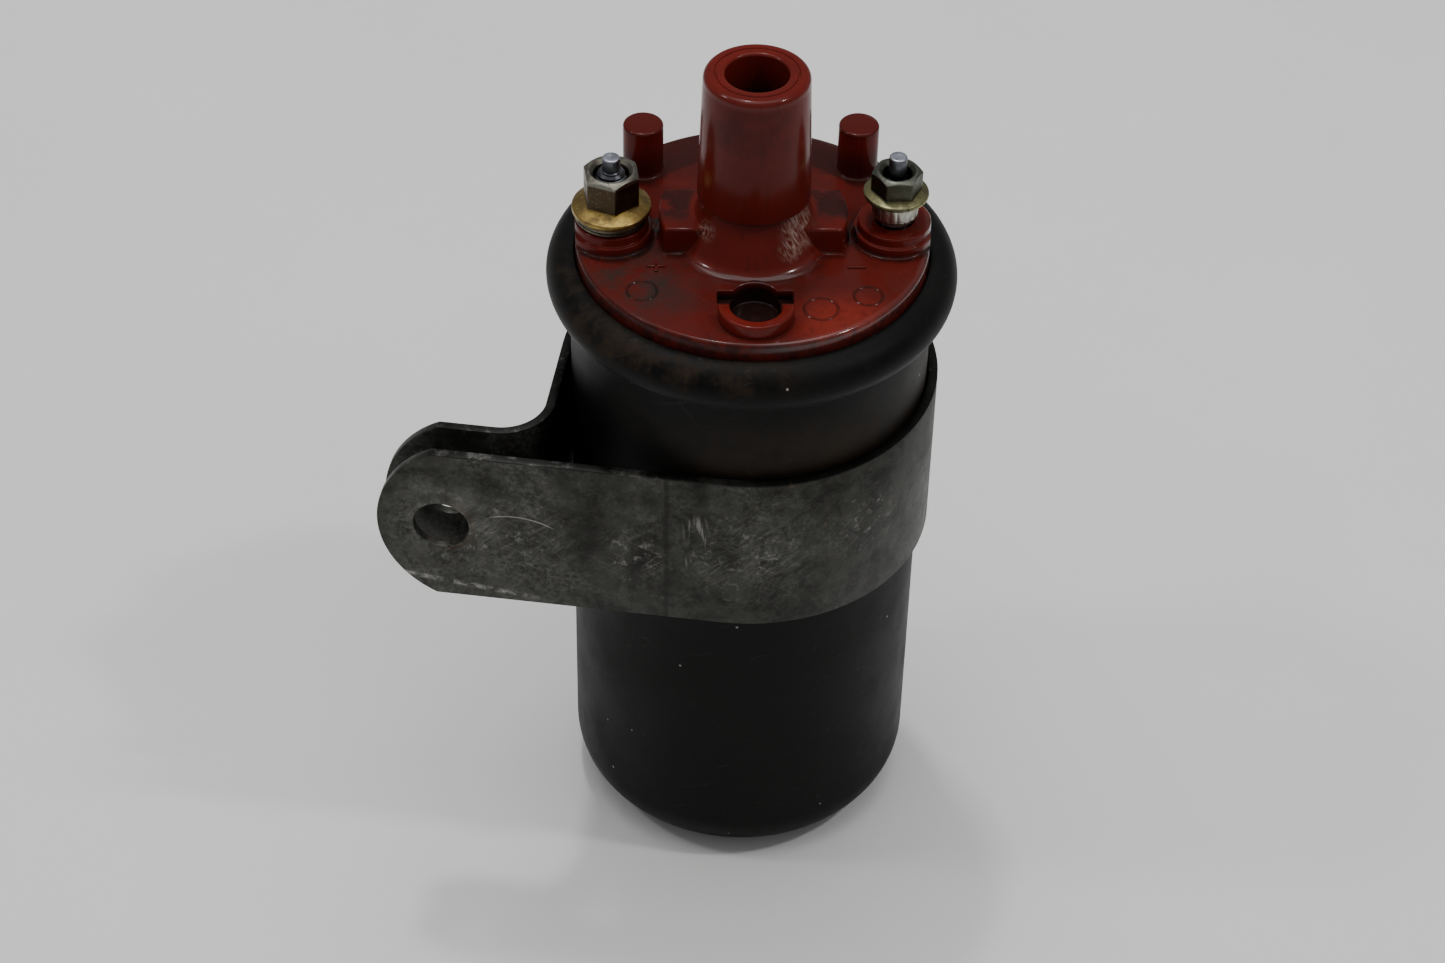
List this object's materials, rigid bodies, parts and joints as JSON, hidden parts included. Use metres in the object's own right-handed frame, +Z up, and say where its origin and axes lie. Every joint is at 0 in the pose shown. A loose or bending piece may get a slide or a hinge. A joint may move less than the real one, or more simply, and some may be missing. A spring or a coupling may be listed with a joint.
{
  "type": "ignition coil",
  "caption": "Oil-filled canister ignition coil with a red moulded cap, a high-tension tower, screw terminals and a steel clamp strap.",
  "frame": {"origin": "centre of the can's flat base, the face that it stands on", "axes": "+Z up the can's axis to the high-tension tower; the strap's ears point along -X and their outer faces are square to Y, the front ear facing -Y; the stud line is turned 8.8 degrees from X about +Z"},
  "size_m": [0.0873, 0.0644, 0.144],
  "materials": {
    "can_paint": "semi-gloss black stoving paint, worn brown near the bead",
    "cap_moulding": "oxide-red phenolic moulding, glossy with grey dust",
    "strap_steel": "dull oxidised zinc plate, mottled and scratched",
    "yellow_zinc": "worn yellow zinc passivate",
    "green_zinc": "worn olive zinc passivate",
    "bright_zinc": "bright zinc plate",
    "rubber": "matt black",
    "brass": "plain turned brass",
    "spring_steel": "bright drawn wire",
    "core_iron": "dark silicon steel sheet",
    "copper": "enamelled copper wire",
    "wound_wire": "fine enamelled wire between paper layers",
    "paper": "oiled kraft paper",
    "pressboard": "oiled pressboard",
    "porcelain": "unglazed white porcelain"
  },
  "bodies": {
    "coil": {"base_insulator": "porcelain", "can": "can_paint", "cap": "cap_moulding", "cap_gasket": "rubber", "contact_spring": "spring_steel", "core_plate": "brass", "core_strip_1": "core_iron", "core_strip_2": "core_iron", "core_strip_3": "core_iron", "core_strip_4": "core_iron", "core_strip_5": "core_iron", "core_strip_6": "core_iron", "core_strip_7": "core_iron", "core_tube": "pressboard", "hv_contact": "brass", "lead_negative": "copper", "lead_positive": "copper", "lead_secondary": "copper", "primary_winding": "copper", "secondary_winding": "wound_wire", "shield_inner": "core_iron", "shield_outer": "core_iron", "stud_negative": "bright_zinc", "stud_positive": "bright_zinc", "winding_barrier": "paper", "winding_spacer": "pressboard", "winding_wrap": "paper"},
    "strap": {"clamp_strap": "strap_steel"},
    "positive_washer": {"washer_positive": "bright_zinc"},
    "positive_nut": {"nut_positive": "yellow_zinc"},
    "negative_collar": {"collar_negative": "bright_zinc"},
    "negative_nut": {"nut_negative": "green_zinc"}
  },
  "joints": [
    {"name": "strap_slide", "type": "slide", "parent": "coil", "child": "strap", "axis": [0, 0, 1], "range_m": [-0.049, 0.0135]},
    {"name": "positive_washer_lift", "type": "slide", "parent": "coil", "child": "positive_washer", "axis": [0, 0, 1], "range_m": [0, 0.0048]},
    {"name": "positive_nut_spin", "type": "hinge", "parent": "positive_washer", "child": "positive_nut", "pos_m": [-0.02164, -0.00335, 0.122], "axis": [0, 0, 1], "range_deg": [0, 2160]},
    {"name": "negative_collar_lift", "type": "slide", "parent": "coil", "child": "negative_collar", "axis": [0, 0, 1], "range_m": [0, 0.0021]},
    {"name": "negative_nut_spin", "type": "hinge", "parent": "negative_collar", "child": "negative_nut", "pos_m": [0.02164, 0.00335, 0.122], "axis": [0, 0, 1], "range_deg": [0, 1080]}
  ],
  "couplings": [
    {"joint": "positive_nut_spin", "follows": "positive_washer_lift", "rad_per_m": 7854},
    {"joint": "negative_nut_spin", "follows": "negative_collar_lift", "rad_per_m": 8976}
  ]
}
